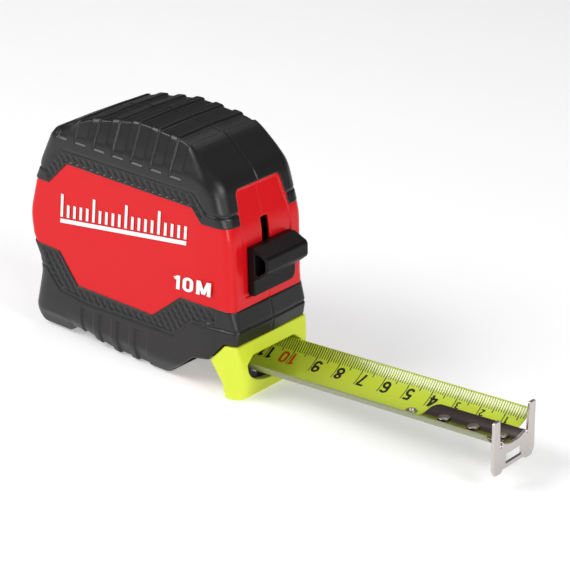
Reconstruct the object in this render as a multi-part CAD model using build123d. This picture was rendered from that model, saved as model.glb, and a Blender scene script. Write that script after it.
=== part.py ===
from build123d import *
import math
import os

# A ten metre pocket tape measure, stored as separate pieces.
# Frame: origin at the centre of the base, +X out of the mouth, +Z up, +Y on the belt clip's side.
# All sizes are in millimetres and all angles in degrees.

os.makedirs("parts", exist_ok=True)

# Driving sizes of the case
CASE_HALF = 23.0  # half the width over the rubber
RUBBER = 1.8  # thickness of the rubber skin
WALL = 2.2  # thickness of the hard shell under the rubber
PANEL_SINK = 0.6  # how far the bare shell lies below the rubber's face
RUN_GAP = 0.05  # radial gap of a running fit

# The blade, in its own frame: x = 0 at the hook's inner face, z = 0 at the height of its edges
BLADE_PITCH = 4.3  # the blade rises towards the hook
HOOK_X = 145.0
HOOK_Z = 20.8
BLADE_RADIUS = 17.5  # inside radius of the blade's hollow section
BLADE_HALF_CHORD = 14.2
BLADE_T = 0.2
BLADE_WIDTH = 33.0  # flat width, as it lies on the reel
BLADE_CENTRE = math.sqrt(BLADE_RADIUS**2 - BLADE_HALF_CHORD**2)  # height of the arc's centre
BLADE_ANGLE = math.asin(BLADE_HALF_CHORD / BLADE_RADIUS)  # half the arc's opening, in radians
BLADE_STRAIGHT = 116.0  # length that keeps its hollow section
RIVETS = (-4.5, -16.0, -28.0)
EYELET_X = -41.5

# Hook
HOOK_T = 1.1
HOOK_HALF = 13.0
HOOK_TOP = 4.3
HOOK_BOTTOM = -15.9
TONGUE_LENGTH = 36.5
TONGUE_HALF = 6.9
TONGUE_T = 0.9
SLIDE_PLAY = 1.0  # the hook shifts by about its own thickness
BLADE_END = -SLIDE_PLAY - 0.2  # the blade stops short of the plate, so that the hook can shift

# Reel
REEL_X = -8.0
REEL_Z = 44.0
DRUM_RADIUS = 21.0
COIL_RADIUS = 32.8
POST_RADIUS = 4.0
INNER_HALF = CASE_HALF - RUBBER - WALL  # half the width between the shells

# Lock, in a frame that leans with the front wall: x out of the wall, z up along it
FRONT_X = 39.8
FRONT_Z = 33.0
FRONT_LEAN = 6.1
LOCK_TRAVEL = 8.0
NECK_LOW = 8.0
NECK_TOP = 20.0

# Screws
SCREW_POSTS = ((-42.5, 12.5), (-40.5, 73.5), (22.5, 74.5), (22.0, 23.0))
SCREW_R = 1.5

# Belt clip, on the +Y side
CLIP_T = 1.2
CLIP_HALF = 9.0
CLIP_LOOP = 2.55  # radius of the loop's middle line
CLIP_TOP = 65.5
CLIP_SCREW_Z = 54.0
INSERT_R = 2.75

# Side outline of the whole case: x, z and the radius of the corner there
BODY_OUTLINE = [
    (-48.5, 0.0, 3.0),
    (-35.5, 0.0, 1.5),
    (-32.8, 3.4, 1.5),
    (-29.5, 3.4, 1.5),
    (-12.0, 0.0, 6.0),
    (11.0, 0.0, 5.0),
    (24.5, 11.5, 4.0),
    (31.5, 12.6, 2.0),
    (37.3, 19.6, 1.5),
    (42.4, 20.2, 0.8),
    (42.7, 25.5, 1.0),
    (39.8, 33.0, 2.0),
    (36.9, 60.0, 30.0),
    (30.5, 77.0, 14.0),
    (14.0, 89.0, 20.0),
    (-8.0, 92.3, 40.0),
    (-32.0, 86.8, 20.0),
    (-46.5, 78.5, 6.0),
    (-51.3, 66.0, 6.0),
    (-55.2, 44.0, 22.0),
    (-50.2, 22.0, 10.0),
    (-52.2, 8.0, 4.0),
]
# Plan outline, y >= 0 half: x, y and corner radius
PLAN_OUTLINE = [(-55.2, 23.0, 9.0), (24.0, 23.0, 20.0), (39.5, 21.0, 8.0), (47.0, 19.2, 1.0)]
# Cross-section outline, y >= 0 half: y, z and corner radius
CROSS_OUTLINE = [(17.0, -0.5, 1.0), (23.0, 9.0, 5.0), (23.0, 77.0, 8.0), (17.0, 94.0, 1.0)]

# The bare band of the shell between the rubber skins
BAND = [
    (-60.0, 58.4),
    (-45.3, 58.1),
    (-37.0, 67.6),
    (20.6, 68.0),
    (25.2, 63.2),
    (50.0, 63.7),
    (50.0, 33.3),
    (17.7, 32.8),
    (5.5, 21.9),
    (-29.6, 22.1),
    (-38.9, 33.0),
    (-60.0, 33.8),
]
WINDOW = [(-13.2, 60.0), (13.2, 60.0), (11.9, 75.0), (-11.9, 75.0)]

# Side outline of the yellow mouth piece
MOUTH_OUTLINE = [
    (32.0, 12.9, 0.8),
    (37.4, 19.8, 1.2),
    (42.5, 20.4, 0.5),
    (44.0, 15.5, 3.0),
    (45.4, 9.0, 3.0),
    (45.6, 0.0, 1.0),
    (39.0, 0.0, 1.0),
    (37.4, 5.5, 5.0),
]
MOUTH_PLAN = [(28.0, 22.3, 1.0), (40.0, 20.8, 6.0), (45.8, 20.2, 4.0)]


def blade_frame():
    """Location of the blade's frame."""
    return Pos(HOOK_X, 0, HOOK_Z) * Rot(0, -BLADE_PITCH, 0)


def front_frame():
    """Location of the front wall's frame."""
    return Pos(FRONT_X, 0, FRONT_Z) * Rot(0, -FRONT_LEAN, 0)


def rounded(points):
    """Face of a closed outline of (u, v, corner radius)."""
    path = FilletPolyline(
        *[(u, v) for u, v, r in points],
        radius=[r for u, v, r in points],
        close=True,
    )
    return make_face(path)


def mirrored_outline(half, first):
    """Closes a half outline by its mirror image: first is the index of the coordinate that changes sign."""
    other = [(-p[0], p[1], p[2]) if first == 0 else (p[0], -p[1], p[2]) for p in reversed(half)]
    return half + other


def polygon(points):
    """Face of a closed outline of straight lines."""
    return make_face(Polyline(*points, close=True))


def side_prism(face, low, high):
    """Extrudes a face of (x, z) from y = low to y = high."""
    return Pos(0, high, 0) * extrude(Plane.XZ * face, high - low)


def box(low, high):
    """Box between two corners."""
    size = [b - a for a, b in zip(low, high)]
    middle = [(a + b) / 2 for a, b in zip(low, high)]
    return Pos(*middle) * Box(*size)


def rod_y(x, z, radius, low, high):
    """Cylinder along Y."""
    return Pos(x, (low + high) / 2, z) * Rot(90, 0, 0) * Cylinder(radius, high - low)


def tube_y(x, z, inner, outer, low, high):
    """Ring along Y."""
    return rod_y(x, z, outer, low, high) - rod_y(x, z, inner, low - 1, high + 1)


def inset(face, amount):
    """The face drawn in by an amount on every side."""
    if amount == 0:
        return face
    return offset(face, amount=-amount, kind=Kind.INTERSECTION)


def envelope(amount):
    """The case's outer form, drawn in by an amount."""
    side = side_prism(inset(rounded(BODY_OUTLINE), amount), -30, 30)
    plan = extrude(inset(rounded(mirrored_outline(PLAN_OUTLINE, 1)), amount), 120)
    plan = Pos(0, 0, -10) * plan
    cross = extrude(Plane.YZ * inset(rounded(mirrored_outline(CROSS_OUTLINE, 0)), amount), 120)
    cross = Pos(-65, 0, 0) * cross
    return side & plan & cross


def half_space(side):
    """The half of space on one side of the middle plane: side is -1 or 1."""
    return box((-80, 0, -20), (80, 60, 120)) if side > 0 else box((-80, -60, -20), (80, 0, 120))


def blade_tunnel():
    """The way that the blade takes through the case, with grooves for the tongue, rivets and eyelet."""
    way = box((-139, -16.8, -7.8), (-95, 16.8, 3.6))
    tongue_groove = box((-139, -8.0, -9.0), (-95, 8.0, 0))
    eyelet_groove = box((-144, -3.0, -8.3), (-95, 3.0, 0))
    return blade_frame() * (way + tongue_groove + eyelet_groove)


def lock_bay():
    """Room for the lock's carrier behind the lower front wall."""
    return box((24, -14, 10), (37.6, 14, 27))


def front_slot():
    """Slot in the front wall that the button's neck slides in."""
    return front_frame() * box((-8, -2.0, NECK_LOW - 2.5), (4, 2.0, NECK_TOP + LOCK_TRAVEL + 2.0))


def make_shells():
    """Both hard shells, with posts, bosses and the lock's rib."""
    bare = envelope(PANEL_SINK)
    band = side_prism(polygon(BAND), -30, 30)
    window = Pos(25, 0, 0) * extrude(Plane.YZ * polygon(WINDOW), 30)
    block = envelope(RUBBER) + (bare & band) + (bare & window)
    hollow = block - envelope(RUBBER + WALL)
    hollow = hollow - blade_tunnel() - lock_bay() - front_slot()
    shells = {}
    for side, name in ((-1, "left_shell"), (1, "right_shell")):
        shell = hollow & half_space(side)
        wall = side * (INNER_HALF + 0.5)
        for x, z in SCREW_POSTS:
            low, high = sorted((0.0, wall))
            shell = shell + rod_y(x, z, 3.4, low, high)
        low, high = sorted((side * 3.0, wall))
        shell = shell + box((27.2, low, 34.0), (28.8, high, 57.0))
        low, high = sorted((side * (INNER_HALF - 1.6), wall))
        shell = shell + rod_y(REEL_X, REEL_Z, 7.0, low, high) - centre_pocket(side)
        if side > 0:
            shell = shell + rod_y(REEL_X, CLIP_SCREW_Z, 4.6, INNER_HALF - 1.4, INNER_HALF + 0.5)
            shell = shell - rod_y(REEL_X, CLIP_SCREW_Z, INSERT_R + RUN_GAP, 17.0, 26.0)
        shell = shell - screw_holes(side)
        shells[name] = shell
    return shells


def centre_pocket(side):
    """Square pocket that keeps the centre post from turning."""
    low, high = sorted((side * (INNER_HALF - 2.0), side * (INNER_HALF + 2.1)))
    return box((REEL_X - 2.55, low, REEL_Z - 2.55), (REEL_X + 2.55, high, REEL_Z + 2.55))


def screw_holes(side):
    """Pilot holes on the left, clearance holes and head recesses on the right."""
    holes = None
    for x, z in SCREW_POSTS:
        if side < 0:
            hole = rod_y(x, z, SCREW_R + RUN_GAP, -14.0, 1.0)
        else:
            hole = rod_y(x, z, SCREW_R + 0.2, -1.0, 30.0) + rod_y(x, z, 3.0, 17.5, 30.0)
        holes = hole if holes is None else holes + hole
    return holes


def make_grips():
    """The four rubber skins, moulded over the shells above and below the bare band."""
    skin = envelope(0) - envelope(RUBBER) - side_prism(polygon(BAND), -30, 30)
    skin = skin - Pos(25, 0, 0) * extrude(Plane.YZ * polygon(WINDOW), 30)
    skin = skin - blade_tunnel() - lock_bay() - screw_holes(1) - grip_pockets()
    grips = {}
    for side, word in ((-1, "left"), (1, "right")):
        half = skin & half_space(side)
        grips[word + "_upper_grip"] = half & box((-80, -60, 50), (80, 60, 120))
        grips[word + "_lower_grip"] = half & box((-80, -60, -20), (80, 60, 50))
    return grips


def grip_pockets():
    """Shallow finger pockets in the upper and lower skins."""
    cuts = None
    for side in (-1, 1):
        low, high = sorted((side * (CASE_HALF - 0.9), side * 30))
        for k in range(6):
            x = -31.0 + 8.75 * k
            pocket = box((x, low, 76.5), (x + 5.8, high, 84.0))
            cuts = pocket if cuts is None else cuts + pocket
        for k in range(4):
            x = -24.0 + 8.75 * k
            cuts = cuts + box((x, low, 6.0), (x + 5.8, high, 15.5))
    return cuts


def make_mouth():
    """Yellow mouth piece: the front foot, with the blade's opening and its lower lip."""
    form = side_prism(rounded(MOUTH_OUTLINE), -30, 30)
    plan = extrude(rounded(mirrored_outline(MOUTH_PLAN, 1)), 40)
    form = form & (Pos(0, 0, -5) * plan)
    upper = Polyline((16.5, -2.5), (16.5, -0.3), (12.0, 2.3), (-12.0, 2.3), (-16.5, -0.3), (-16.5, -2.5))
    lower = ThreePointArc((-16.5, -2.5), (0, -9.9), (16.5, -2.5))
    opening = make_face([upper, lower])
    channel = blade_frame() * (Pos(-118, 0, 0) * extrude(Plane.YZ * opening, 30))
    pad_seat = blade_frame() * (Pos(-108.3, 0, 0) * extrude(Plane.YZ * pad_face(0.0), 5.6))
    return form - channel - pad_seat - envelope(0)


def pad_face(gap):
    """Section of the wear pad's two rails, as one U that lies on the mouth's lower lip."""
    top = rail_height(14.0)
    inner = rail_height(8.0)
    side = 14.0 - gap
    rail = Polyline((side, top), (side, -7.6), (9.0, -10.4), (-9.0, -10.4), (-side, -7.6), (-side, top))
    left = ThreePointArc((-side, top), (-11.3, rail_height(11.3)), (-8.0, inner))
    floor = Polyline((-8.0, inner), (-8.0, -9.3), (8.0, -9.3), (8.0, inner))
    right = ThreePointArc((8.0, inner), (11.3, rail_height(11.3)), (side, top))
    return make_face([rail, left, floor, right])


def rail_height(y):
    """Height of the wear pad's top at a distance y from the middle."""
    return BLADE_CENTRE - math.sqrt((BLADE_RADIUS + BLADE_T + 0.3) ** 2 - y**2)


def make_wear_pad():
    """Pad on the lower lip that the blade's flanks slide on, hollow in the middle for the rivets."""
    return blade_frame() * (Pos(-108.2, 0, 0) * extrude(Plane.YZ * pad_face(0.05), 5.4))


def arc_band(inner, outer, half_angle):
    """Face between two arcs about the blade's centre, in (y, z)."""
    return band_face(inner, outer, half_angle, BLADE_CENTRE)


def band_face(inner, outer, half_angle, centre):
    """Face between two arcs about (0, centre), below it, in (y, z)."""
    arcs = []
    for radius in (outer, inner):
        y = radius * math.sin(half_angle)
        z = centre - radius * math.cos(half_angle)
        arcs.append(ThreePointArc((-y, z), (0, centre - radius), (y, z)))
    left = Line(arcs[0] @ 0, arcs[1] @ 0)
    right = Line(arcs[0] @ 1, arcs[1] @ 1)
    return make_face(arcs + [left, right])


def arc_prism(inner, outer, half_angle, start, end):
    """Hollow strip along the blade, in the blade's frame."""
    return Pos(start, 0, 0) * extrude(Plane.YZ * arc_band(inner, outer, half_angle), end - start)


def upright(x, radius, low, high):
    """Cylinder square to the blade, in the blade's frame."""
    return Pos(x, 0, (low + high) / 2) * Cylinder(radius, high - low)


def blade_section(radius, x, z, slope):
    """Section of the blade of a given hollow radius, at (x, z) on a path of that slope."""
    half_angle = BLADE_WIDTH / 2 / radius
    centre = radius * math.sin(half_angle) / half_angle
    t = math.radians(slope)
    plane = Plane(origin=(x, 0, z), x_dir=(0, 1, 0), z_dir=(math.cos(t), 0, math.sin(t)))
    return plane * band_face(radius, radius + BLADE_T, half_angle, centre)


def make_coil():
    """The wound part of the blade, as one solid ring."""
    half = BLADE_WIDTH / 2
    return tube_y(REEL_X, REEL_Z, DRUM_RADIUS + 0.1, COIL_RADIUS, -half, half)


def make_blade():
    """The blade outside the reel: a hollow strip that flattens out towards the coil."""
    strip = arc_prism(BLADE_RADIUS, BLADE_RADIUS + BLADE_T, BLADE_ANGLE, -BLADE_STRAIGHT, BLADE_END)
    for x in RIVETS:
        strip = strip - upright(x, 1.45, -9, -5)
    strip = blade_frame() * (strip - upright(EYELET_X, 1.25, -9, -5))
    half_angle = BLADE_WIDTH / 2 / BLADE_RADIUS
    sag = BLADE_CENTRE - BLADE_RADIUS * math.sin(half_angle) / half_angle
    t = math.radians(BLADE_PITCH)
    start_x = HOOK_X - BLADE_STRAIGHT * math.cos(t) - sag * math.sin(t)
    start_z = HOOK_Z - BLADE_STRAIGHT * math.sin(t) + sag * math.cos(t)
    sections = [
        blade_section(BLADE_RADIUS, start_x, start_z, BLADE_PITCH),
        blade_section(45.0, 11.0, 7.8, -4.0),
        blade_section(400.0, REEL_X + 1.0, REEL_Z - COIL_RADIUS - 0.4, 0.0),
    ]
    return strip + loft(sections, ruled=True)


def blade_bottom():
    """Height of the blade's upper face at the middle, in its frame."""
    return BLADE_CENTRE - BLADE_RADIUS


def make_hook():
    """Hook plate with its prongs and window, and the tongue that lies on the blade."""
    half = [
        (0.0, -14.9),
        (7.0, -14.9),
        (7.6, HOOK_BOTTOM),
        (11.4, HOOK_BOTTOM),
        (HOOK_HALF, -13.2),
        (HOOK_HALF, HOOK_TOP - 0.5),
        (HOOK_HALF - 0.5, HOOK_TOP),
        (9.3, HOOK_TOP),
        (8.6, -6.2),
        (7.6, -6.4),
    ]
    outer = BLADE_RADIUS - 0.1
    inner = outer - TONGUE_T
    crest = (0.0, BLADE_CENTRE - inner)
    shoulder = (7.0, BLADE_CENTRE - math.sqrt(inner**2 - 49.0))
    right = half + [shoulder]
    left = [(-y, z) for y, z in reversed(right)]
    straight = Polyline(*(left[:-1] + right))
    saddle = ThreePointArc(right[-1], crest, left[0])
    plate = extrude(Plane.YZ * make_face([straight, saddle]), HOOK_T)
    plate = plate - box((-1, -5.0, -13.1), (3, 5.0, -9.7))
    half_angle = TONGUE_HALF / BLADE_RADIUS
    tongue = arc_prism(inner, outer, half_angle, -TONGUE_LENGTH, 0.4)
    plan = [(-TONGUE_LENGTH, -8.0, 3.2), (2.0, -8.0, 0.4), (2.0, 8.0, 0.4), (-TONGUE_LENGTH, 8.0, 3.2)]
    tongue = tongue & (Pos(0, 0, -12) * extrude(rounded(plan), 20))
    for x in RIVETS:
        slot = box((x - 0.1, -1.5, -9), (x + SLIDE_PLAY + 0.1, 1.5, -3))
        tongue = tongue - slot - upright(x - 0.1, 1.5, -9, -3) - upright(x + SLIDE_PLAY + 0.1, 1.5, -9, -3)
    return blade_frame() * (plate + tongue)


def make_rivets():
    """Rivets through the blade, with low domed heads above the tongue."""
    top = blade_bottom() + 0.1 + TONGUE_T
    rivets = None
    for x in RIVETS:
        shank = upright(x, 1.4, blade_bottom() - BLADE_T - 0.7, top + 0.3)
        head = upright(x, 2.2, top + 0.3, top + 0.9)
        head = fillet(head.edges().sort_by(Axis.Z)[-1], 0.45)
        tail = upright(x, 2.0, blade_bottom() - BLADE_T - 1.1, blade_bottom() - BLADE_T - 0.7)
        piece = shank + head + tail
        rivets = piece if rivets is None else rivets + piece
    return blade_frame() * rivets


def make_backing():
    """Thin strip under the blade that the rivets bear on."""
    base = BLADE_RADIUS + BLADE_T + 0.05
    strip = arc_prism(base, base + 0.4, 5.0 / BLADE_RADIUS, -33.0, -1.5)
    for x in RIVETS:
        strip = strip - upright(x, 1.45, -10, -5)
    return blade_frame() * strip


def make_eyelet():
    """Eyelet set in the blade behind the tongue."""
    low = blade_bottom() - BLADE_T
    ring = upright(EYELET_X, 1.2, low - 0.4, low + 0.9)
    ring = ring + upright(EYELET_X, 1.9, low + 0.55, low + 0.95)
    ring = ring + upright(EYELET_X, 1.9, low - 0.5, low - 0.05)
    return blade_frame() * (ring - upright(EYELET_X, 0.7, -12, 0))


def make_button():
    """Thumb button: a plate on the front wall, a hollow lip and a neck through the slot."""
    profile = [
        (-0.45, 4.0),
        (0.9, 4.0),
        (1.5, 4.8),
        (1.5, 10.2),
        (5.0, 11.4),
        (9.3, 14.8),
        (9.7, 15.6),
        (9.7, 18.6),
        (9.2, 19.4),
        (1.6, 22.2),
        (-0.45, 22.2),
    ]
    hollow = [(3.4, 13.2), (4.7, 12.5), (8.5, 15.7), (8.5, 18.6), (3.4, 20.4)]
    local = side_prism(polygon(profile), -12.4, 12.4)
    local = local - side_prism(polygon(hollow), -13.0, -4.0) - side_prism(polygon(hollow), 4.0, 13.0)
    lip_ends = box((2.0, 11.6, 0), (12, 14, 30)) + box((2.0, -14, 0), (12, -11.6, 30))
    local = local - lip_ends
    neck = box((-4.6, -1.75, NECK_LOW), (-0.4, 1.75, NECK_TOP))
    return front_frame() * (local + neck)


def make_carrier():
    """Carrier behind the front wall, with the two pads that press on the blade's flanks."""
    plate = [(-4.6, -9.5), (-4.6, 19.0), (-6.4, 19.0), (-6.4, -8.0)]
    plate = front_frame() * side_prism(polygon(plate), -11, 11)
    shoe = [(36.25, 22.6), (32.2, 16.2), (32.2, 8.0), (28.8, 8.0), (28.8, 16.2), (34.3, 24.5)]
    shoe = side_prism(polygon(shoe), -13.0, 13.0)
    ceiling = blade_frame() * box((-125, -9.2, -12), (-105, 9.2, 6.0))
    shoe = shoe - ceiling
    room = arc_prism(BLADE_RADIUS - 0.15, BLADE_RADIUS + 12, math.pi / 2.1, -130, -100)
    shoe = shoe - blade_frame() * room
    return plate + shoe


def make_detent():
    """Leaf spring behind the carrier that holds it at either end of its travel."""
    line = [(29.05, 35.0), (29.5, 41.0), (30.9, 46.5), (29.3, 51.5), (29.05, 56.5)]
    back = [(x + 0.35, z) for x, z in reversed(line)]
    return side_prism(polygon(line + back), -4.0, 4.0)


def make_post():
    """Fixed centre post with square ends and a slot for the spring's inner end."""
    reach = INNER_HALF - 1.7
    post = rod_y(REEL_X, REEL_Z, POST_RADIUS, -reach, reach)
    end = INNER_HALF + 2.0
    tenon = box((REEL_X - 2.5, -end, REEL_Z - 2.5), (REEL_X + 2.5, end, REEL_Z + 2.5))
    slot = box((REEL_X - 0.4, -14, REEL_Z), (REEL_X + 0.4, 14, REEL_Z + 5))
    return post + tenon - slot


def spiral_edges(start, step, turns):
    """Half-circle arcs of a spiral about the reel's axis, from the +X side, in (x, z)."""
    edges = []
    radius = start
    for k in range(2 * turns):
        centre = REEL_X + (0.0 if k % 2 == 0 else step)
        sign = 1 if k % 2 == 0 else -1
        first = (centre + sign * radius, REEL_Z)
        middle = (centre, REEL_Z + sign * radius)
        last = (centre - sign * radius, REEL_Z)
        edges.append(ThreePointArc(first, middle, last))
        radius = radius + step
    return edges


def make_spring():
    """Power spring: a flat spiral strip whose inner end is held by the centre post."""
    step = 0.6
    turns = 10
    strip = 0.4
    inner = spiral_edges(5.6, step, turns)
    outer = spiral_edges(5.6 + strip, step, turns)
    start = Line(inner[0] @ 0, outer[0] @ 0)
    end = Line(inner[-1] @ 1, outer[-1] @ 1)
    return side_prism(make_face(inner + outer + [start, end]), -13.0, 13.0)


def make_drum():
    """Drum that the blade winds on, closed by a web on the left."""
    ring = tube_y(REEL_X, REEL_Z, DRUM_RADIUS - 2.0, DRUM_RADIUS, -16.5, 14.9)
    web = tube_y(REEL_X, REEL_Z, POST_RADIUS + RUN_GAP, DRUM_RADIUS, -16.5, -15.0)
    hub = tube_y(REEL_X, REEL_Z, POST_RADIUS + RUN_GAP, 5.2, -16.5, -13.4)
    return ring + web + hub


def make_drum_cover():
    """Disc that closes the drum on the right and keeps the spring in."""
    disc = tube_y(REEL_X, REEL_Z, POST_RADIUS + RUN_GAP, DRUM_RADIUS, 15.0, 16.5)
    hub = tube_y(REEL_X, REEL_Z, POST_RADIUS + RUN_GAP, 5.2, 13.4, 15.2)
    rim = tube_y(REEL_X, REEL_Z, 17.6, DRUM_RADIUS - 2.1, 13.6, 15.2)
    return disc + hub + rim


def make_washers():
    """Two nylon washers between the drum and the shells' bosses."""
    left = tube_y(REEL_X, REEL_Z, POST_RADIUS + 0.1, 8.0, -17.3, -16.6)
    right = tube_y(REEL_X, REEL_Z, POST_RADIUS + 0.1, 8.0, 16.6, 17.3)
    return left + right


def make_screws():
    """Four case screws, put in from the right."""
    screws = None
    for x, z in SCREW_POSTS:
        shank = rod_y(x, z, SCREW_R, -10.0, 17.6)
        head = rod_y(x, z, 2.8, 17.55, 19.6) - star_recess(x, 19.6, z)
        screw = shank + head
        screws = screw if screws is None else screws + screw
    return screws


def star_recess(x, top, z):
    """Six-pointed socket cut 1.2 mm deep in a head whose face is at y = top."""
    points = []
    for k in range(12):
        radius = 1.4 if k % 2 == 0 else 0.95
        angle = math.radians(30 * k)
        points.append((x + radius * math.cos(angle), z + radius * math.sin(angle)))
    return side_prism(polygon(points), top - 1.2, top + 1)


def make_clip():
    """Belt clip: a strip screwed to the side, turned over at the top and flared at the tip."""
    face = CASE_HALF - PANEL_SINK + 0.05
    near = face + CLIP_T / 2
    far = near + 2 * CLIP_LOOP
    line = Line((near, 44.0), (near, CLIP_TOP))
    loop = ThreePointArc((near, CLIP_TOP), (near + CLIP_LOOP, CLIP_TOP + CLIP_LOOP), (far, CLIP_TOP))
    knee = (25.4, 31.0)
    arm = Line((far, CLIP_TOP), knee)
    tip = Line(knee, (28.2, 22.0))
    path = Wire([line, loop, arm, tip])
    ribbon = offset(path, amount=CLIP_T / 2, side=Side.BOTH, kind=Kind.ARC)
    strip = Pos(REEL_X - CLIP_HALF, 0, 0) * extrude(Plane.YZ * make_face(ribbon), 2 * CLIP_HALF)
    hole = rod_y(REEL_X, CLIP_SCREW_Z, 1.7, 20, 24.5)
    driver = rod_y(REEL_X, CLIP_SCREW_Z, 3.6, 24.5, 32)
    return strip - hole - driver


def make_clip_screw():
    """Pan-head screw through the clip into the insert."""
    head_base = CASE_HALF - PANEL_SINK + 0.05 + CLIP_T + 0.02
    head = rod_y(REEL_X, CLIP_SCREW_Z, 3.2, head_base, head_base + 1.3)
    shank = rod_y(REEL_X, CLIP_SCREW_Z, SCREW_R, 18.2, head_base + 0.1)
    return shank + head - star_recess(REEL_X, head_base + 1.5, CLIP_SCREW_Z)


def make_insert():
    """Brass insert in the right shell for the clip's screw."""
    return tube_y(REEL_X, CLIP_SCREW_Z, SCREW_R + RUN_GAP, INSERT_R, 17.7, 22.2)


PIECES = {
    **make_shells(),
    **make_grips(),
    "mouth_piece": make_mouth(),
    "wear_pad": make_wear_pad(),
    "blade": make_blade(),
    "hook": make_hook(),
    "hook_rivets": make_rivets(),
    "hook_backing_strip": make_backing(),
    "blade_eyelet": make_eyelet(),
    "lock_button": make_button(),
    "lock_carrier": make_carrier(),
    "lock_detent_spring": make_detent(),
    "blade_coil": make_coil(),
    "reel_drum": make_drum(),
    "drum_cover": make_drum_cover(),
    "power_spring": make_spring(),
    "centre_post": make_post(),
    "thrust_washers": make_washers(),
    "case_screws": make_screws(),
    "belt_clip": make_clip(),
    "belt_clip_screw": make_clip_screw(),
    "belt_clip_insert": make_insert(),
}

for name, shape in PIECES.items():
    export_step(shape, "parts/" + name + ".step")
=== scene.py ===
import math

import bpy
import numpy as np
from mathutils import Matrix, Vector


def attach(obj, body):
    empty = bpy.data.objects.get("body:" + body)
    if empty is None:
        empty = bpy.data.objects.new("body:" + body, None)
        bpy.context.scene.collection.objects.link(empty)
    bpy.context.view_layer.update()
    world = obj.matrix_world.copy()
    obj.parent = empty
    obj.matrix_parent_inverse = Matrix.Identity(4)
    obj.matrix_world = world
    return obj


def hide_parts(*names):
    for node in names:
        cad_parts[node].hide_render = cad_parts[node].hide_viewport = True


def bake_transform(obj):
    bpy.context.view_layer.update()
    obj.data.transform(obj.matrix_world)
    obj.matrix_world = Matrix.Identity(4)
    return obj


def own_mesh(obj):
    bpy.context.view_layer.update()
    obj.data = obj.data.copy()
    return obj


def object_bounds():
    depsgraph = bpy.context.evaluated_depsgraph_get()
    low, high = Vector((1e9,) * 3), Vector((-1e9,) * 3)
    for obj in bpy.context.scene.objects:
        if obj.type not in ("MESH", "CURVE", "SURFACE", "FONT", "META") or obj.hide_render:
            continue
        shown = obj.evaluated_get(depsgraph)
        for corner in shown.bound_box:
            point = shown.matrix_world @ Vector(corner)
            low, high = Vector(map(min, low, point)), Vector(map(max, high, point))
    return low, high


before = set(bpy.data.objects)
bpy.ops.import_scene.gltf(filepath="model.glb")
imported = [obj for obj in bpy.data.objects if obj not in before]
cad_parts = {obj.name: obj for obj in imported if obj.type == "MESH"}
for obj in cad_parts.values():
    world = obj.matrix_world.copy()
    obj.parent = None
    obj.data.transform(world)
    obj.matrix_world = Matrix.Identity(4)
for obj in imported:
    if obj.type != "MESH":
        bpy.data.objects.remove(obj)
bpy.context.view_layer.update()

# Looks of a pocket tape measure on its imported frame: +X out of the mouth, +Z up, +Y on the belt clip's side.
# Shapes are worked out in millimetres, and MM turns them into metres when a mesh is made.
# Most solids are fields, negative inside, that are cut and joined and then meshed on a grid.
MM = 0.001

# Case, as in the frame
CASE_HALF = 23.0
PANEL_SINK = 0.6
SKIN = 2.4  # thickness of the rubber
SHELL = 4.0  # depth of the hard shell's inner face under the rubber's outer face
REEL_X = -8.0
SCREW_POSTS = ((-42.5, 12.5), (-40.5, 73.5), (22.5, 74.5), (22.0, 23.0))
CLIP_SCREW_Z = 54.0

# Blade and hook, in the blade's frame
BLADE_PITCH = math.radians(4.3)
HOOK_X = 145.0
HOOK_Z = 20.8
BLADE_RADIUS = 17.5
BLADE_HALF_CHORD = 14.2
BLADE_T = 0.2
BLADE_CENTRE = math.sqrt(BLADE_RADIUS**2 - BLADE_HALF_CHORD**2)
BLADE_HALF_WIDTH = BLADE_RADIUS * math.asin(BLADE_HALF_CHORD / BLADE_RADIUS)
BLADE_STRAIGHT = 116.0
BLADE_END = -1.5  # the strip stops short of the hook's plate, which shifts towards it
BLADE_END_SLANT = 1.4  # how much further back it is cut beside the tongue than at its edges
COIL_END = (-7.0, 10.8)  # x, z where the stored stretch of blade meets the coil
HOOK_T = 1.1
HOOK_SETBACK = 0.4  # how far the plate stands behind its place in the frame
TONGUE_LENGTH = 36.5
TONGUE_HALF = 6.9
TONGUE_T = 0.9
RIVETS = (-4.5, -16.0, -28.0)
EYELET_X = -41.5

# Front wall's frame, which the lock slides in
FRONT_X = 39.8
FRONT_Z = 33.0
FRONT_LEAN = math.radians(6.1)

# Outlines: each point has a corner radius
BODY_OUTLINE = [
    (-48.5, 0.0, 3.0), (-35.5, 0.0, 1.5), (-32.8, 3.4, 1.5), (-29.5, 3.4, 1.5), (-12.0, 0.0, 6.0),
    (12.0, 0.0, 5.0), (24.5, 11.3, 4.0), (31.5, 12.6, 2.0), (37.3, 19.6, 1.5), (42.4, 20.2, 0.8),
    (43.1, 25.8, 1.0), (40.8, 33.0, 2.0), (37.9, 60.5, 30.0), (30.9, 78.0, 14.0), (15.5, 90.4, 16.0),
    (-8.0, 91.8, 40.0), (-32.0, 86.8, 20.0), (-46.5, 78.5, 6.0), (-51.3, 66.0, 6.0), (-55.2, 44.0, 22.0),
    (-50.2, 22.0, 10.0), (-52.2, 8.0, 4.0),
]
PLAN_OUTLINE = [(-55.2, 23.0, 1.0), (24.0, 23.0, 20.0), (39.5, 21.3, 4.0), (47.0, 19.7, 1.0)]
CROSS_OUTLINE = [(19.2, -0.5, 1.0), (23.0, 7.0, 4.5), (23.0, 78.5, 8.0), (17.6, 94.0, 1.0)]
BAND = [
    (-60.0, 58.4, 0.1), (-45.3, 58.1, 0.8), (-37.0, 67.6, 0.8), (20.6, 68.0, 0.8), (25.2, 63.2, 0.8),
    (50.0, 63.7, 0.1), (50.0, 33.3, 0.1), (17.7, 32.8, 0.8), (5.5, 21.9, 0.8), (-29.6, 22.1, 0.8),
    (-38.9, 33.0, 0.8), (-60.0, 33.8, 0.1),
]
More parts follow.
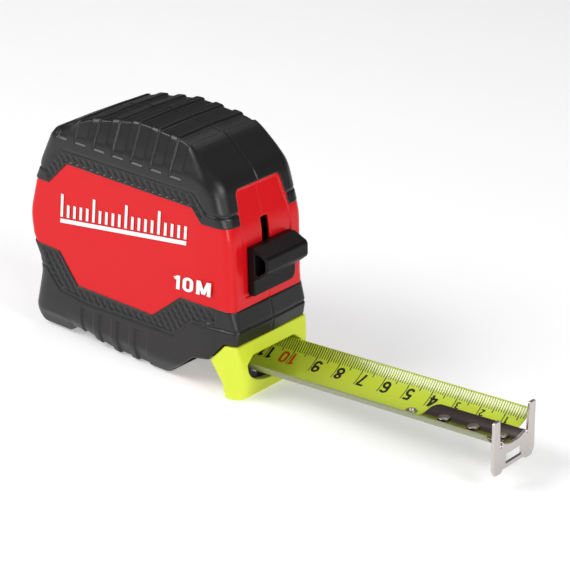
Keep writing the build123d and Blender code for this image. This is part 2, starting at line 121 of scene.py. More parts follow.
WINDOW = [(14.6, 58.0, 0.1), (12.5, 75.0, 1.8)]
CHANNEL = [(13.3, 36.6, 0.8), (13.9, 60.0, 1.0), (11.8, 74.3, 1.6)]
UPPER_GROOVE = [(-60.0, 62.9), (-48.2, 62.9), (-38.9, 72.6), (21.2, 73.7), (27.1, 67.6), (45.0, 67.2)]
LOWER_GROOVE = [
    (-60.0, 25.4), (-44.4, 25.1), (-37.8, 18.1), (-24.7, 16.6), (15.4, 17.6), (23.8, 25.2), (50.0, 26.4),
]
MOUTH_OUTLINE = [
    (32.0, 12.9, 0.8), (37.4, 19.8, 1.2), (42.5, 20.4, 0.5), (44.0, 15.5, 3.0), (45.4, 9.0, 3.0),
    (45.6, 0.0, 1.0), (39.0, 0.0, 1.0), (37.4, 5.5, 5.0),
]
MOUTH_PLAN = [(28.0, 22.3, 1.0), (39.0, 21.2, 6.0), (45.8, 20.4, 5.5)]
TREAD_PITCH = 8.74
TREAD_WIDTH = 5.8
TREAD_COUNT = 8
TREAD_START = -33.8 - 2 * TREAD_PITCH


# ---------------------------------------------------------------- fields and meshes

def rounded(points, steps=6):
    """Closed outline of (u, v, corner radius), with each corner as an arc."""
    out = []
    for i, (u, v, r) in enumerate(points):
        here = np.array((u, v))
        back = np.array(points[i - 1][:2]) - here
        ahead = np.array(points[(i + 1) % len(points)][:2]) - here
        back = back / np.hypot(*back)
        ahead = ahead / np.hypot(*ahead)
        half = 0.5 * math.acos(float(np.clip(back @ ahead, -1, 1)))
        middle = (back + ahead) / np.hypot(*(back + ahead))
        centre = here + middle * r / math.sin(half)
        first = here + back * r / math.tan(half) - centre
        last = here + ahead * r / math.tan(half) - centre
        start = math.atan2(first[1], first[0])
        turn = math.atan2(last[1], last[0]) - start
        turn = (turn + math.pi) % (2 * math.pi) - math.pi
        for k in range(steps + 1):
            a = start + turn * k / steps
            out.append(centre + r * np.array((math.cos(a), math.sin(a))))
    return np.array(out)


def mirrored(half, first):
    """Closes a half outline by its mirror image: first is the index of the coordinate that changes sign."""
    other = [(-p[0], p[1], p[2]) if first == 0 else (p[0], -p[1], p[2]) for p in reversed(half)]
    return half + other


def line_distance(u, v, points):
    """Distance from each (u, v) to a line through points."""
    best = np.full(np.broadcast(u, v).shape, 1e9)
    for a, b in zip(points[:-1], points[1:]):
        eu, ev = b[0] - a[0], b[1] - a[1]
        length = eu * eu + ev * ev
        if length < 1e-12:
            continue
        t = np.clip(((u - a[0]) * eu + (v - a[1]) * ev) / length, 0, 1)
        best = np.minimum(best, (u - a[0] - t * eu) ** 2 + (v - a[1] - t * ev) ** 2)
    return np.sqrt(best)


def outline_field(u, v, outline):
    """Signed distance from each (u, v) to a closed outline, negative inside."""
    closed = [tuple(p[:2]) for p in outline]
    closed.append(closed[0])
    inside = np.zeros(np.broadcast(u, v).shape, bool)
    for a, b in zip(closed[:-1], closed[1:]):
        if a[1] == b[1]:
            continue
        crossing = a[0] + (v - a[1]) * (b[0] - a[0]) / (b[1] - a[1])
        inside ^= ((a[1] <= v) != (b[1] <= v)) & (u < crossing)
    return np.where(inside, -1.0, 1.0) * line_distance(u, v, closed)


def meet(a, b, r):
    """Intersection of two fields, with an edge of radius r."""
    return np.minimum(np.maximum(a, b), -r) + np.hypot(np.maximum(a + r, 0), np.maximum(b + r, 0))


def cut(a, b, r):
    """Field a without b, with an edge of radius r."""
    return meet(a, -b, r)


def join(a, b, r):
    """Union of two fields, with a fillet of radius r."""
    return -meet(-a, -b, r)


def slab(u, low, high):
    """Field of the space between two parallel planes."""
    return np.maximum(low - u, u - high)


def ease(t):
    """Smooth step from 0 to 1."""
    t = np.clip(t, 0, 1)
    return t * t * (3 - 2 * t)


def axes(low, high, step):
    """Grid coordinates that broadcast against each other."""
    x, y, z = (np.arange(a, b + step, step, dtype=np.float32) for a, b in zip(low, high))
    return x[:, None, None], y[None, :, None], z[None, None, :]


def net(field, low, step):
    """Vertices and quads of a field's zero surface.

    Each cell with both signs at its corners gets a vertex, and each grid edge with both signs a quad."""
    inside = field < 0
    corners = [(i, j, k) for i in (0, 1) for j in (0, 1) for k in (0, 1)]
    n = [s - 1 for s in field.shape]
    count = np.zeros(n, np.uint8)
    for i, j, k in corners:
        count += inside[i:i + n[0], j:j + n[1], k:k + n[2]]
    cells = np.argwhere((count > 0) & (count < 8))
    index = np.full(n, -1, np.int32)
    index[tuple(cells.T)] = np.arange(len(cells))
    values = {c: field[tuple((cells + c).T)] for c in corners}
    total = np.zeros((len(cells), 3))
    hits = np.zeros(len(cells))
    for c in corners:
        for axis in range(3):
            if c[axis]:
                continue
            d = tuple(1 if k == axis else c[k] for k in range(3))
            crossed = (values[c] < 0) != (values[d] < 0)
            at = np.tile(np.array(c, float), (int(crossed.sum()), 1))
            at[:, axis] = values[c][crossed] / (values[c][crossed] - values[d][crossed])
            total[crossed] += at
            hits[crossed] += 1
    verts = np.array(low) + step * (cells + total / hits[:, None])
    quads = []
    for axis in range(3):
        u, v = (axis + 1) % 3, (axis + 2) % 3
        here = [slice(1, -1)] * 3
        ahead = [slice(1, -1)] * 3
        here[axis] = slice(0, -1)
        ahead[axis] = slice(1, None)
        at = np.argwhere(inside[tuple(here)] != inside[tuple(ahead)])
        shift = np.ones(3, int)
        shift[axis] = 0
        at = at + shift
        ring = []
        for du, dv in ((-1, -1), (0, -1), (0, 0), (-1, 0)):
            step_to = np.zeros(3, int)
            step_to[u], step_to[v] = du, dv
            ring.append(index[tuple((at + step_to).T)])
        ring = np.stack(ring, 1)
        outward = inside[tuple(at.T)]
        quads.append(np.where(outward[:, None], ring, ring[:, ::-1]))
    return verts, np.concatenate(quads)


def piece(name, verts, faces, material, body):
    """Mesh object from vertices in millimetres, riding on a body if one is given."""
    mesh = bpy.data.meshes.new(name)
    mesh.from_pydata((np.asarray(verts) * MM).tolist(), [], [list(map(int, f)) for f in faces])
    mesh.materials.append(material)
    mesh.shade_smooth()
    obj = bpy.data.objects.new(name, mesh)
    bpy.context.scene.collection.objects.link(obj)
    if body:
        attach(obj, body)
    return obj


def from_blade(points):
    """Points from the blade's frame to the object's."""
    x, y, z = np.asarray(points, float).T
    c, s = math.cos(BLADE_PITCH), math.sin(BLADE_PITCH)
    return np.stack([HOOK_X + c * x - s * z, y, HOOK_Z + s * x + c * z], 1)


def from_front(points):
    """Points from the front wall's frame to the object's."""
    x, y, z = np.asarray(points, float).T
    c, s = math.cos(FRONT_LEAN), math.sin(FRONT_LEAN)
    return np.stack([FRONT_X + c * x - s * z, y, FRONT_Z + s * x + c * z], 1)


# ---------------------------------------------------------------- materials

BROAD_SCALE, BROAD_DETAIL = 45.0, 6.0
FINE_DETAIL = 3.0
BUMP_STRENGTH = 0.6
LEAST_ROUGH = 0.02


def material(name, colour, rough, metallic=0.0, grain=0.0, grain_size=0.4, tone=0.06, wear=0.08, **sockets):
    """Surface with slight colour and roughness variation, and a fine grain if one is given.

    grain is the bump's depth and grain_size its scale, both in millimetres."""
    m = bpy.data.materials.new(name)
    m.use_nodes = True
    nodes, links = m.node_tree.nodes, m.node_tree.links
    shader = nodes["Principled BSDF"]
    shader.inputs["Metallic"].default_value = metallic
    for key, value in sockets.items():
        shader.inputs[key.replace("_", " ")].default_value = value
    where = nodes.new("ShaderNodeTexCoord")
    broad = nodes.new("ShaderNodeTexNoise")
    broad.inputs["Scale"].default_value = BROAD_SCALE
    broad.inputs["Detail"].default_value = BROAD_DETAIL
    links.new(where.outputs["Object"], broad.inputs["Vector"])
    shade = nodes.new("ShaderNodeMapRange")
    shade.inputs["To Min"].default_value = 1 - tone
    shade.inputs["To Max"].default_value = 1 + tone
    links.new(broad.outputs["Fac"], shade.inputs["Value"])
    tint = nodes.new("ShaderNodeVectorMath")
    tint.operation = "SCALE"
    tint.inputs[0].default_value = colour
    links.new(shade.outputs["Result"], tint.inputs["Scale"])
    links.new(tint.outputs["Vector"], shader.inputs["Base Color"])
    gloss = nodes.new("ShaderNodeMapRange")
    gloss.inputs["To Min"].default_value = max(rough - wear, LEAST_ROUGH)
    gloss.inputs["To Max"].default_value = rough + wear
    links.new(broad.outputs["Fac"], gloss.inputs["Value"])
    links.new(gloss.outputs["Result"], shader.inputs["Roughness"])
    if grain:
        fine = nodes.new("ShaderNodeTexNoise")
        fine.inputs["Scale"].default_value = 1.0 / (grain_size * MM)
        fine.inputs["Detail"].default_value = FINE_DETAIL
        links.new(where.outputs["Object"], fine.inputs["Vector"])
        bump = nodes.new("ShaderNodeBump")
        bump.inputs["Strength"].default_value = BUMP_STRENGTH
        bump.inputs["Distance"].default_value = grain * MM
        links.new(fine.outputs["Fac"], bump.inputs["Height"])
        links.new(bump.outputs["Normal"], shader.inputs["Normal"])
    return m


def brushed(name, colour, rough, stretch):
    """Plated steel whose grain is drawn out along one direction: stretch is the scale on each axis."""
    m = material(name, colour, rough, metallic=1.0, grain=0.006, grain_size=0.15, tone=0.06)
    nodes, links = m.node_tree.nodes, m.node_tree.links
    where = next(n for n in nodes if n.bl_idname == "ShaderNodeTexCoord")
    mapping = nodes.new("ShaderNodeMapping")
    mapping.inputs["Scale"].default_value = stretch
    links.new(where.outputs["Object"], mapping.inputs["Vector"])
    bump = next(n for n in nodes if n.bl_idname == "ShaderNodeBump")
    fine = bump.inputs["Height"].links[0].from_node
    links.new(mapping.outputs["Vector"], fine.inputs["Vector"])
    return m


RED = material("red_shell", (0.66, 0.006, 0.010), 0.30, grain=0.012, grain_size=0.35, tone=0.03,
               Specular_IOR_Level=0.22, Coat_Weight=0.06, Coat_Roughness=0.15)
BLACK = material("black_rubber", (0.0100, 0.0095, 0.0098), 0.36, grain=0.03, grain_size=0.22, tone=0.12,
                 Specular_IOR_Level=0.44)
YELLOW = material("yellow_plastic", (0.66, 0.76, 0.035), 0.42, grain=0.02, grain_size=0.4, tone=0.03,
                  Subsurface_Weight=0.08, Subsurface_Scale=0.002)
BUTTON = material("black_button", (0.007, 0.0055, 0.006), 0.42, grain=0.015, grain_size=0.25, tone=0.08,
                  Specular_IOR_Level=0.16)
DARK = material("dark_nylon", (0.012, 0.012, 0.013), 0.5, grain=0.02, tone=0.08)
BLADE_TOP = material("blade_paint", (0.56, 0.68, 0.045), 0.30, grain=0.004, grain_size=0.8, tone=0.03,
                     Coat_Weight=0.6, Coat_Roughness=0.16)
BLADE_BACK = material("blade_back", (0.20, 0.22, 0.09), 0.38, grain=0.006, grain_size=0.8, tone=0.05,
                      Coat_Weight=0.3, Coat_Roughness=0.25)
INK = material("black_ink", (0.012, 0.012, 0.010), 0.35, tone=0.02, Coat_Weight=0.5, Coat_Roughness=0.2)
RED_INK = material("red_ink", (0.62, 0.05, 0.008), 0.35, tone=0.02, Coat_Weight=0.5, Coat_Roughness=0.2)
WHITE_INK = material("white_ink", (0.86, 0.85, 0.84), 0.45, tone=0.02)
HOOK_METAL = brushed("hook_plate", (0.58, 0.545, 0.52), 0.30, (1.0, 1.0, 0.15))
TONGUE_METAL = brushed("tongue_plate", (0.27, 0.215, 0.205), 0.20, (0.06, 1.0, 1.0))
STEEL = brushed("clip_steel", (0.55, 0.55, 0.56), 0.30, (1.0, 1.0, 0.12))
RIVET_METAL = material("rivet_metal", (0.42, 0.37, 0.35), 0.36, metallic=1.0, grain=0.004, grain_size=0.2)
SCREW_METAL = material("screw_metal", (0.10, 0.10, 0.105), 0.35, metallic=1.0, grain=0.01, grain_size=0.2)
SPRING_METAL = material("spring_steel", (0.25, 0.26, 0.29), 0.30, metallic=1.0, grain=0.01, grain_size=0.3)
NYLON = material("white_nylon", (0.70, 0.70, 0.66), 0.5, grain=0.01, tone=0.03)
BRASS = material("brass", (0.72, 0.50, 0.18), 0.3, metallic=1.0, grain=0.01, grain_size=0.2)


# ---------------------------------------------------------------- case

CASE_STEP = 0.32
CASE_LOW, CASE_HIGH = (-57.0, -24.0, -1.2), (47.0, 24.0, 94.0)
HEEL_TUCK = 1.3  # how much narrower the rear foot is on each side
CROWN_SLOPE = 0.02  # fall of the top and the nose to both sides
SKIN_OVERLAP = 0.6  # how far the rubber goes on into the shell
ARCH_HALF = 20.4  # the finger arch under the nose, where the shell is bare
ARCH_ENDS = (15.0, 34.0)
ARCH_TOP = 14.0
SEAM_WIDTH = 0.32  # the parting line round the middle
RUBBER_SEAM, SHELL_SEAM = 0.35, 0.25
GROOVE_DEPTH, GROOVE_WIDTH = 0.55, 0.45
SCALE_PITCH = 3.2
SCALE_ROW, SCALE_RADIUS = 0.62, 0.44  # shares of the pitch
STRIP_DEPTH, SCALE_HEIGHT = 0.75, 0.65
STRIP_INSET, STRIP_SOFTNESS = 0.5, 0.7
UPPER_POCKET_DEPTH, UPPER_POCKET_LOW = 0.85, 76.6
LOWER_POCKET_DEPTH, LOWER_POCKET_TOP = 0.80, 14.4
LOWER_POCKET_PITCH, LOWER_POCKET_WIDTH = 8.44, 6.0
LOWER_POCKET_START = -27.5
LOWER_POCKET_ROW = (-28.0, 4.2)
EDGE_SOFTNESS = 0.55  # run-out at the edges of the pockets
WINDOW_BACK = 25.0  # the front wall's outlines reach from here forward
SLOT_BACK = 27.0
CHANNEL_DEPTH = 1.15
SLOT_HALF = 2.1
SLOT_ENDS = (5.5, 30.3)
POST_RADIUS = 4.6
SCREW_RECESS = 3.1
SCREW_SEAT_Y = 17.6
INSERT_HOLE = 2.8
RELIEF_HALF = 7.5  # room behind the front wall for the lock's carrier
RELIEF_ENDS = (3.0, 33.0)
RELIEF_DEPTH = 2.2

# The blade's way through the case, in the blade's frame
WAY_BACK, WAY_FRONT = -144.5, -95.0
WAY_HALF, WAY_LOW, WAY_HIGH = 16.8, -7.9, 3.6
DEEP_BACK, DEEP_HALF, DEEP_LOW = -139.0, 8.0, -9.0  # deeper in the middle, for the blade's fittings


def case_corner_radius(x, z):
    """Radius of the upright edges: large on the panels, small on the nose and round the arch."""
    front = np.interp(z, [14.0, 19.0, 27.0, 37.0, 60.0, 75.0], [1.2, 1.8, 2.2, 3.8, 4.0, 6.0])
    rear = np.interp(z, [0.0, 8.0, 28.0, 36.0, 57.0, 63.0], [3.0, 7.5, 7.5, 3.2, 3.2, 5.5])
    return np.where(x > 0, front, rear).astype(np.float32)


def tread(x):
    """Field of the treads and pockets: negative over each of them, in x."""
    n = np.clip(np.floor((x - TREAD_START) / TREAD_PITCH), 0, TREAD_COUNT - 1)
    return slab(x, TREAD_START + n * TREAD_PITCH, TREAD_START + n * TREAD_PITCH + TREAD_WIDTH)


def scales(x, z, pitch):
    """Height from 0 to 1 of a pattern of small domes in staggered rows."""
    rise = pitch * SCALE_ROW
    best = np.full(np.broadcast(x, z).shape, 9.0)
    for shift in (0.0, 0.5):
        du = (x / pitch + shift + 0.5) % 1.0 - 0.5
        dv = (z / (2 * rise) + shift + 0.5) % 1.0 - 0.5
        best = np.minimum(best, np.hypot(du * pitch, dv * 2 * rise))
    return 1 - np.clip(best / (pitch * SCALE_RADIUS), 0, 1) ** 2


def tunnel(x, y, z, room):
    """The way of the blade through the case's floor, with a deeper groove for its fittings."""
    c, s = math.cos(BLADE_PITCH), math.sin(BLADE_PITCH)
    along = c * (x - HOOK_X) + s * (z - HOOK_Z)
    up = -s * (x - HOOK_X) + c * (z - HOOK_Z)
    way = np.maximum(slab(along, WAY_BACK - room, WAY_FRONT), slab(up, WAY_LOW - room, WAY_HIGH))
    way = np.maximum(np.abs(y) - WAY_HALF - room, way)
    deep = np.maximum(slab(along, DEEP_BACK - room, WAY_FRONT), slab(up, DEEP_LOW - room, 0.0))
    return np.minimum(way, np.maximum(np.abs(y) - DEEP_HALF - room, deep))


def posts(x, z, radius):
    """Four posts, or their holes, along Y."""
    best = np.full(np.broadcast(x, z).shape, 99.0, np.float32)
    for px, pz in SCREW_POSTS:
        best = np.minimum(best, np.hypot(x - px, z - pz) - radius)
    return best


def screw_recesses(x, y, z):
    """Holes for the screws' heads, on the clip's side."""
    return np.maximum(posts(x, z, SCREW_RECESS), SCREW_SEAT_Y - y)


def case_body(x, y, z):
    """The case's outer form, without grooves: its side, plan and cross outlines met together."""
    side = outline_field(x, z, rounded(BODY_OUTLINE)).astype(np.float32)
    plan = outline_field(x, y, rounded(mirrored(PLAN_OUTLINE, 1))).astype(np.float32)
    cross = outline_field(y, z, rounded(mirrored(CROSS_OUTLINE, 0))).astype(np.float32)
    cross = cross + (HEEL_TUCK * ease((-24 - x) / 12) * ease((14 - z) / 10)).astype(np.float32)
    return meet(meet(side, plan, case_corner_radius(x, z)), cross, 1.4)


def bare_region(x, y, z):
    """Where the red shell shows: the band round the case, the front window and the finger arch."""
    band = outline_field(x, z, rounded(BAND)).astype(np.float32)
    window = outline_field(y, z, rounded(mirrored(WINDOW, 0))).astype(np.float32)
    arch = np.maximum(np.maximum(np.abs(y) - ARCH_HALF, slab(x, *ARCH_ENDS)), z - ARCH_TOP)
    return np.minimum(join(band, np.maximum(window, WINDOW_BACK - x), 0.3), arch)


def rubber_depth(x, z):
    """Depth of the rubber's grooves, scaled bands and pockets below the outer face."""
    depth = GROOVE_DEPTH * np.exp(-((line_distance(x, z, UPPER_GROOVE) / GROOVE_WIDTH) ** 2))
    depth = depth + GROOVE_DEPTH * np.exp(-((line_distance(x, z, LOWER_GROOVE) / GROOVE_WIDTH) ** 2))
    upper_edge = [(25.2, 63.2), (20.6, 68.0), (-37.0, 67.6), (-45.3, 58.1)]
    lower_edge = [
        (34.0, 26.0), (34.0, 33.0), (17.7, 32.8), (5.5, 21.9), (-29.6, 22.1), (-38.9, 33.0), (-47.0, 33.4),
    ]
    upper_strip = outline_field(x, z, UPPER_GROOVE[1:-1] + upper_edge)
    lower_strip = outline_field(x, z, LOWER_GROOVE[1:-1] + lower_edge)
    upper_share = ease(-(upper_strip + STRIP_INSET) / STRIP_SOFTNESS)
    lower_share = ease(-(lower_strip + STRIP_INSET) / STRIP_SOFTNESS)
    strip = np.maximum(upper_share, lower_share)
    depth = depth + strip * (STRIP_DEPTH - SCALE_HEIGHT * scales(x, z, SCALE_PITCH))
    upper_pocket = np.maximum(tread(x), UPPER_POCKET_LOW - z)
    lower_row = np.maximum(slab(x, *LOWER_POCKET_ROW), z - LOWER_POCKET_TOP)
    lower_pocket = slab((x - LOWER_POCKET_START) % LOWER_POCKET_PITCH, 0.0, LOWER_POCKET_WIDTH)
    lower_pocket = np.maximum(lower_pocket, lower_row)
    depth = depth + UPPER_POCKET_DEPTH * ease(-upper_pocket / EDGE_SOFTNESS) * ease((x + 50) / 3)
    depth = depth + LOWER_POCKET_DEPTH * ease(-lower_pocket / EDGE_SOFTNESS)
    return depth


def make_case():
    """The four rubber skins as one piece, and both red shells as another."""
    x, y, z = axes(CASE_LOW, CASE_HIGH, CASE_STEP)
    body = case_body(x, y, z)
    bare = bare_region(x, y, z)
    seam = np.exp(-((y / SEAM_WIDTH) ** 2)).astype(np.float32)
    recesses = screw_recesses(x, y, z)

    crown = CROWN_SLOPE * ease((z - 74) / 10) + CROWN_SLOPE * ease((x - 30) / 6)
    skin = body + rubber_depth(x, z).astype(np.float32)
    skin = skin + (crown * np.abs(y)).astype(np.float32) + RUBBER_SEAM * seam
    rubber = cut(skin, bare, 0.35)
    rubber = np.maximum(rubber, -(body + SKIN + SKIN_OVERLAP))
    rubber = cut(rubber, tunnel(x, y, z, 0.3), 0.3)
    rubber = cut(rubber, recesses, 0.25)
    verts, faces = net(rubber.astype(np.float32), CASE_LOW, CASE_STEP)
    grips = piece("rubber_grips", verts, faces, BLACK, "case")
    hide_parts("left_upper_grip", "left_lower_grip", "right_upper_grip", "right_lower_grip")

    # Red shell: a sunken channel for the lock, its slot, the hollow inside and the posts.
    shell = np.minimum(body + SKIN, np.maximum(body + PANEL_SINK + SHELL_SEAM * seam, bare - 1.0))
    channel = outline_field(y, z, rounded(mirrored(CHANNEL, 0))).astype(np.float32)
    channel = np.maximum(channel, WINDOW_BACK - x)
    shell = cut(shell, np.maximum(channel, -(body + CHANNEL_DEPTH + SHELL_SEAM * seam)), 0.2)
    c, s = math.cos(FRONT_LEAN), math.sin(FRONT_LEAN)
    up_front = -s * (x - FRONT_X) + c * (z - FRONT_Z)
    ahead = SLOT_BACK - x
    slot = np.maximum(np.maximum(np.abs(y) - SLOT_HALF, slab(up_front, *SLOT_ENDS)), ahead)
    shell = cut(shell, slot, 0.25)
    relief = np.maximum(np.abs(y) - RELIEF_HALF, slab(up_front, *RELIEF_ENDS))
    relief = np.maximum(relief, np.maximum(body + RELIEF_DEPTH, ahead))
    shell = np.maximum(shell, -relief)
    hollow = np.maximum(body + SHELL, -posts(x, z, POST_RADIUS))
    clip_screw = np.hypot(x - REEL_X, z - CLIP_SCREW_Z)
    hollow = np.maximum(hollow, -np.maximum(clip_screw - POST_RADIUS, SCREW_SEAT_Y - y))
    shell = np.maximum(shell, -hollow)
    shell = cut(shell, tunnel(x, y, z, 0.0), 0.2)
    shell = cut(shell, recesses, 0.2)
    shell = cut(shell, np.maximum(clip_screw - INSERT_HOLE, SCREW_SEAT_Y - y), 0.15)
    verts, faces = net(shell.astype(np.float32), CASE_LOW, CASE_STEP)
    red = piece("red_shell", verts, faces, RED, "case")
    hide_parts("left_shell", "right_shell")


# ---------------------------------------------------------------- mouth

OPENING_HALF, OPENING_EDGE = 15.6, -0.3  # the opening, across and up from the hook's line
OPENING_FLAT, OPENING_TOP = 12.0, 2.3
LIP_START, LIP_DEPTH = -2.0, 7.0
PAD_HALF, PAD_LOW, PAD_FRONT = 14.1, -10.4, 42.6  # the wear pad's seat behind the lip


def make_mouth():
    """Yellow front foot with the blade's opening and its lower lip."""
    step = 0.25
    low, high = (30.0, -23.0, -1.0), (47.0, 23.0, 22.0)
    x, y, z = axes(low, high, step)
    form = outline_field(x, z, rounded(MOUTH_OUTLINE))
    form = meet(form, outline_field(x, y, rounded(mirrored(MOUTH_PLAN, 1))), 1.0)
    c, s = math.cos(BLADE_PITCH), math.sin(BLADE_PITCH)
    up = -s * (x - HOOK_X) + c * (z - HOOK_Z)
    opening = [
        (-OPENING_HALF, OPENING_EDGE), (-OPENING_FLAT, OPENING_TOP), (OPENING_FLAT, OPENING_TOP),
        (OPENING_HALF, OPENING_EDGE),
    ]
    for a in np.linspace(0, math.pi, 25):
        opening.append((OPENING_HALF * math.cos(a), LIP_START - LIP_DEPTH * math.sin(a)))
    form = cut(form, outline_field(y, up, opening), 0.5)
    seat = np.maximum(np.abs(y) - PAD_HALF, slab(up, PAD_LOW, 0.0))
    form = np.maximum(form, -np.maximum(seat, slab(x, low[0], PAD_FRONT)))
    verts, faces = net(form.astype(np.float32), low, step)
    mouth = piece("mouth_frame", verts, faces, YELLOW, "case")
    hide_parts("mouth_piece")


# ---------------------------------------------------------------- lock button

RIB_X, RIB_Z = 8.60, 19.92  # the first groove between the ribs, in the front wall's frame
RIB_BACK, RIB_UP = 1.05, 0.546
RIB_RADIUS = 0.40
CHEEK_HALF = 4.0  # the lip is hollow on both sides of its solid middle
NECK_HALF = 1.75


def make_button():
    """Thumb button: plate, hollow lip with grooves across its top, and the neck through the slot."""
    step = 0.16
    low, high = (-5.2, -13.2, 3.0), (10.6, 13.2, 23.2)
    x, y, z = axes(low, high, step)
    profile = [
        (0.35, 4.0, 0.1), (2.6, 4.0, 0.5), (3.2, 4.7, 0.4), (3.2, 10.3, 1.2), (5.0, 10.9, 1.4),
        (8.5, 13.6, 1.0), (9.0, 14.6, 0.6), (9.0, 18.6, 0.6), (8.4, 19.6, 0.5), (3.4, 22.2, 0.8),
        (0.35, 22.2, 0.1),
    ]
    side = outline_field(x, z, rounded(profile))
    for k in range(5):
        groove = np.hypot(x - RIB_X + RIB_BACK * k, z - RIB_Z - RIB_UP * k) - RIB_RADIUS
        side = cut(side, groove, 0.15)
    face = [(-11.6, 4.0, 1.0), (12.4, 4.0, 3.6), (12.4, 22.8, 0.8), (-11.6, 22.8, 0.8)]
    solid = meet(side, outline_field(y, z, rounded(face)), 0.4)
    hollow = [
        (3.5, 12.7, 0.4), (4.7, 12.1, 0.5), (7.9, 14.4, 0.6), (7.9, 18.2, 0.6), (6.0, 19.6, 0.6),
        (3.5, 20.3, 0.6),
    ]
    cheeks = np.maximum(outline_field(x, z, rounded(hollow)), CHEEK_HALF - np.abs(y))
    solid = cut(solid, cheeks, 0.25)
    neck = np.maximum(np.maximum(slab(x, -4.6, 1.0), slab(z, 8.0, 20.0)), np.abs(y) - NECK_HALF)
    solid = np.minimum(solid, neck)
    verts, faces = net(solid.astype(np.float32), low, step)
    button = piece("thumb_button", from_front(verts), faces, BUTTON, "lock")
    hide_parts("lock_button")


# ---------------------------------------------------------------- blade

COIL_BLADE_RADIUS = 400.0  # the strip is nearly flat across where it meets the coil
STORED_SAG = 1.2
BLADE_ROWS, STORED_ROWS, BLADE_COLUMNS = 59, 15, 41


def blade_path():
    """Stations of the blade from the hook to the coil: x, z, slope and hollow radius at its middle line."""
    spread = BLADE_HALF_WIDTH / BLADE_RADIUS
    level = BLADE_CENTRE - BLADE_RADIUS * math.sin(spread) / spread
    c, s = math.cos(BLADE_PITCH), math.sin(BLADE_PITCH)
    stations = []
    for along in np.linspace(BLADE_END, -BLADE_STRAIGHT, BLADE_ROWS):
        x = HOOK_X + c * along - s * level
        z = HOOK_Z + s * along + c * level
        stations.append((x, z, BLADE_PITCH, BLADE_RADIUS))
    start = stations[-1]
    for t in np.linspace(0, 1, STORED_ROWS)[1:]:
        x = start[0] + (COIL_END[0] - start[0]) * t
        z = start[1] + (COIL_END[1] - start[1]) * ease(t) + STORED_SAG * t * (t - 1)
        bend = (1 - ease(t)) / BLADE_RADIUS + ease(t) / COIL_BLADE_RADIUS
        stations.append((x, z, BLADE_PITCH * (1 - t), 1 / bend))
    return stations


def make_blade():
    """The painted strip, hollow at the mouth and flat at the coil."""
    across = np.linspace(-BLADE_HALF_WIDTH, BLADE_HALF_WIDTH, BLADE_COLUMNS)
    top, bottom = [], []
    for x, z, slope, radius in blade_path():
        spread = BLADE_HALF_WIDTH / radius
        centre = radius * math.sin(spread) / spread
        for side, r in ((top, radius), (bottom, radius + BLADE_T)):
            y = r * np.sin(across / radius)
            up = centre - r * np.cos(across / radius)
            side.append(np.stack([x - math.sin(slope) * up, y, z + math.cos(slope) * up], 1))
    inward = (BLADE_HALF_WIDTH - np.abs(across)) / (BLADE_HALF_WIDTH - TONGUE_HALF)
    slant = BLADE_END_SLANT * np.minimum(inward, 1)
    for side in (top, bottom):
        side[0] -= slant[:, None] * np.array((math.cos(BLADE_PITCH), 0, math.sin(BLADE_PITCH)))
    rows, cols = len(top), len(across)
    verts = np.concatenate(top + bottom)
    faces, kinds = [], []
    base = rows * cols
    for i in range(rows - 1):
        for j in range(cols - 1):
            a = i * cols + j
            faces.append((a, a + 1, a + cols + 1, a + cols))
            kinds.append(0)
            faces.append((base + a, base + a + cols, base + a + cols + 1, base + a + 1))
            kinds.append(1)
    rim = [i * cols for i in range(rows)] + [(rows - 1) * cols + j for j in range(1, cols)]
    rim += [i * cols + cols - 1 for i in range(rows - 2, -1, -1)] + list(range(cols - 2, 0, -1))
    for a, b in zip(rim, rim[1:] + rim[:1]):
        faces.append((a, b, base + b, base + a))
        kinds.append(1)
    blade = piece("blade_strip", verts, faces, BLADE_TOP, "blade")
    blade.data.materials.append(BLADE_BACK)
    blade.data.polygons.foreach_set("material_index", kinds)
    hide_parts("blade")
    return blade


def on_blade(points, lift):
    """Points (x along, s across) in the blade's frame, laid on its hollow upper face."""
    points = np.asarray(points, float)
    angle = points[:, 1] / BLADE_RADIUS
    r = BLADE_RADIUS - lift
    return from_blade(np.stack([points[:, 0], r * np.sin(angle), BLADE_CENTRE - r * np.cos(angle)], 1))


def arc(cx, cy, rx, ry, start, end, parts=14):
    """Points of an elliptic arc, with angles in degrees."""
    angles = np.radians(np.linspace(start, end, parts))
    return [(cx + rx * math.cos(a), cy + ry * math.sin(a)) for a in angles]


